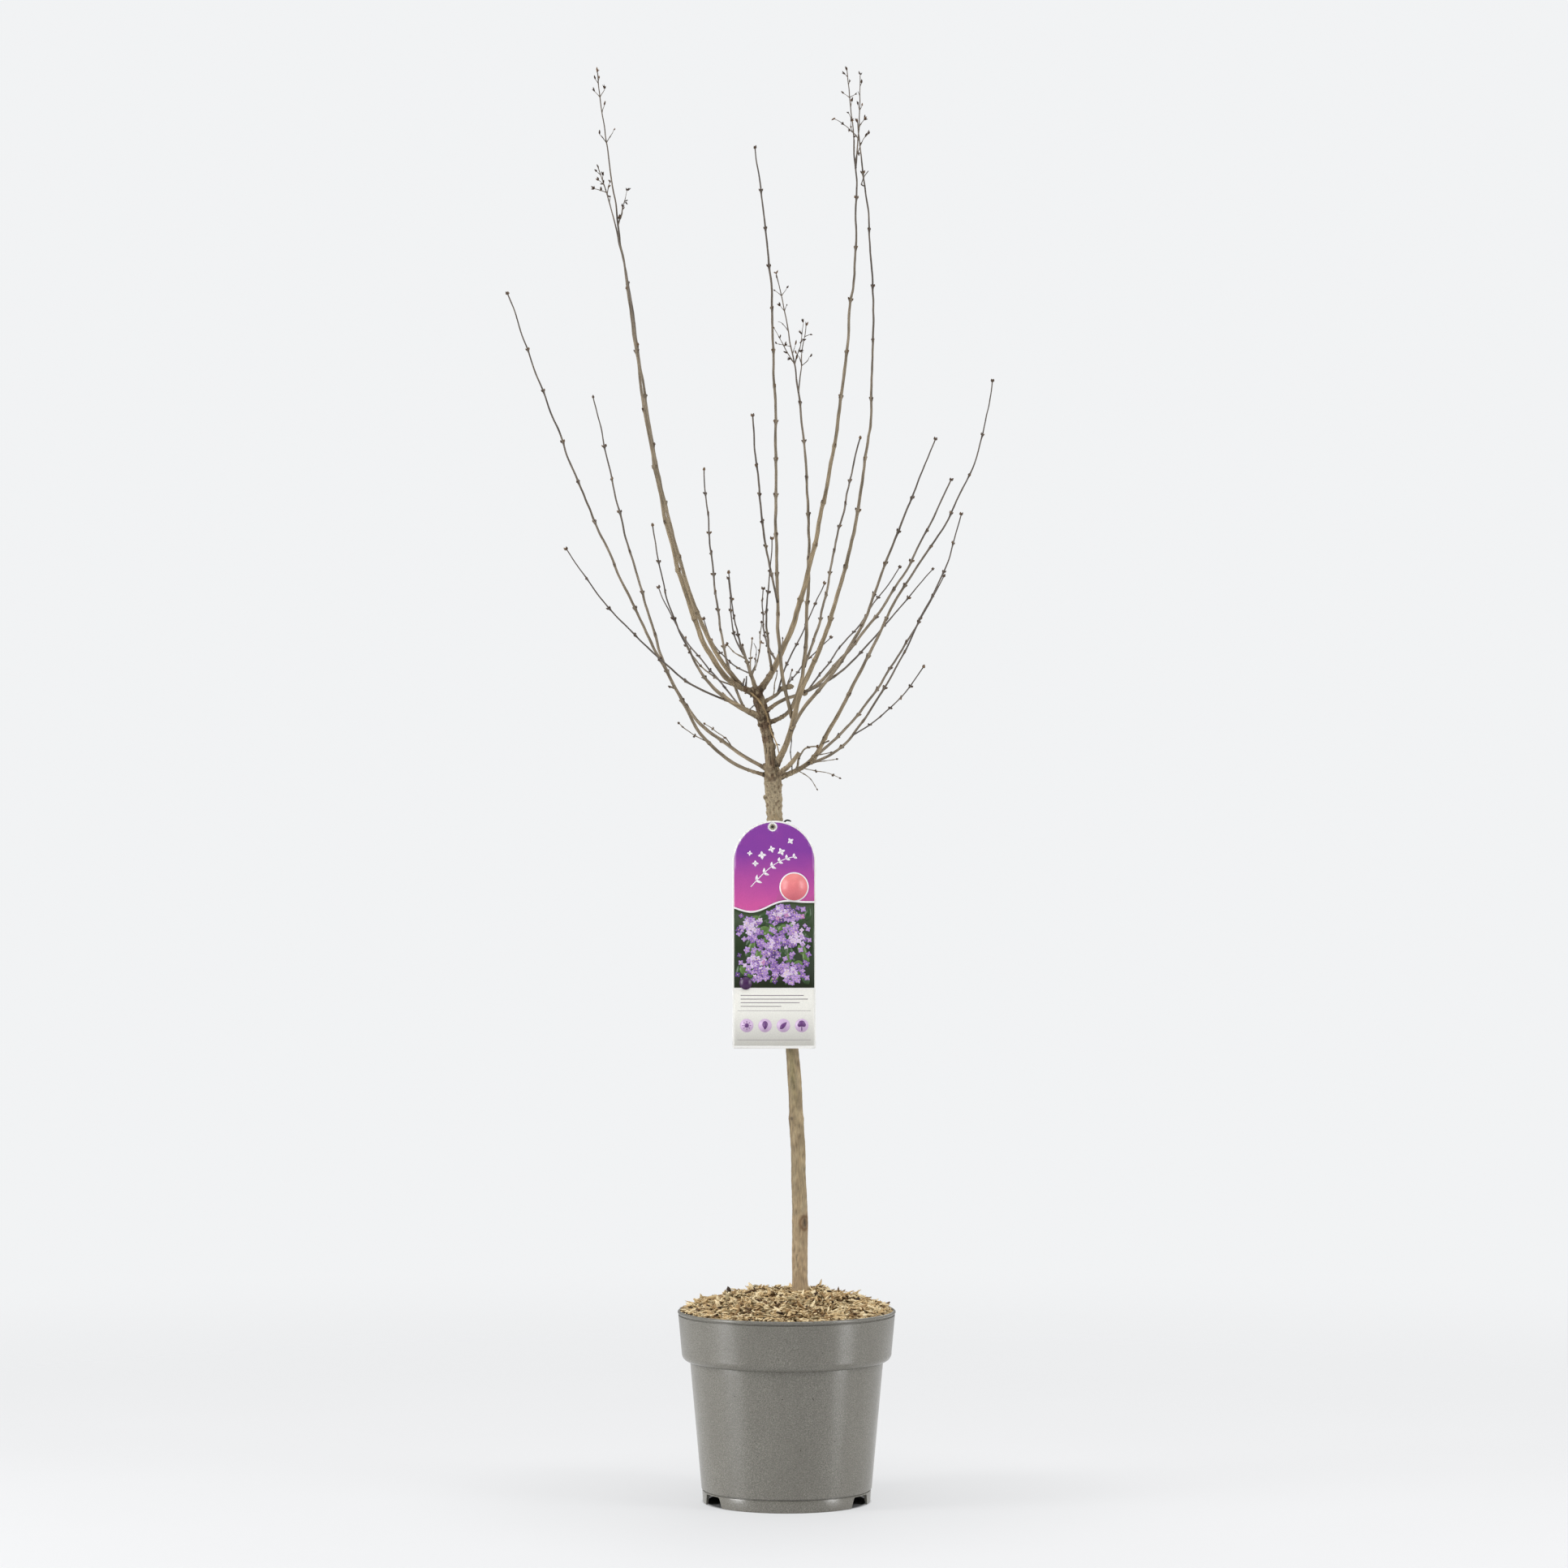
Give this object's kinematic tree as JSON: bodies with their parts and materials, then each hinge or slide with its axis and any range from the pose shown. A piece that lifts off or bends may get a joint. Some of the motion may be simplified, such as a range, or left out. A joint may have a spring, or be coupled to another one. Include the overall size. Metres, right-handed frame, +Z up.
{
  "type": "potted lilac shrub",
  "caption": "Leafless lilac shrub on one clear stem, with upswept budded shoots, a hanging plant tag and a grey plastic nursery pot topped with shredded bark.",
  "frame": {"origin": "middle of the pot's flat underside, on the floor", "axes": "+Z up the pot's axis, -Y towards the front, where the hanging tag is, +X to the right from the front"},
  "size_m": [0.475, 0.4011, 1.4198],
  "materials": {
    "pot": "satin, fine mottled grey",
    "mulch": "shredded pale and brown bark",
    "bark": "matt grey-tan bark with small pores",
    "young_bark": "matt dark grey-brown young bark",
    "tag": "smooth printed card",
    "tie": "soft black plastic"
  },
  "bodies": {
    "root": {"pot": "pot", "root_ball": "mulch", "trunk": "bark", "bough_left_low": "bark", "bough_left_rear": "bark", "bough_right_low": "bark", "shoot_right_low_back": "bark", "shoot_right_low_front": "bark", "shoot_right_low_thin": "young_bark", "bough_right_upright": "bark", "bough_right_front": "bark", "bough_centre_tall": "bark", "shoot_centre_side": "young_bark", "stub_cut": "bark", "bough_left_mid": "bark", "shoot_left_front": "young_bark", "shoot_left_thin": "young_bark", "shoot_left_back": "bark", "bough_middle_tall": "bark", "shoot_middle_fork": "young_bark", "shoot_middle_side": "bark", "bough_right_mid": "bark", "shoot_right_mid_thin": "young_bark", "shoot_right_mid_side": "young_bark", "bough_stub_right": "bark", "shoot_stub_front": "young_bark", "shoot_stub_back": "young_bark", "bough_left_tall": "bark", "bough_left_tall_twin": "bark", "bough_centre_front": "bark", "shoot_centre_front_twin": "young_bark", "shoot_left_tall_side": "young_bark", "bough_right_tall": "bark", "shoot_right_tall_tip": "young_bark", "shoot_centre_back": "young_bark", "shoot_centre_near": "bark", "tag": "tag", "tie": "tie"}
  },
  "joints": []
}
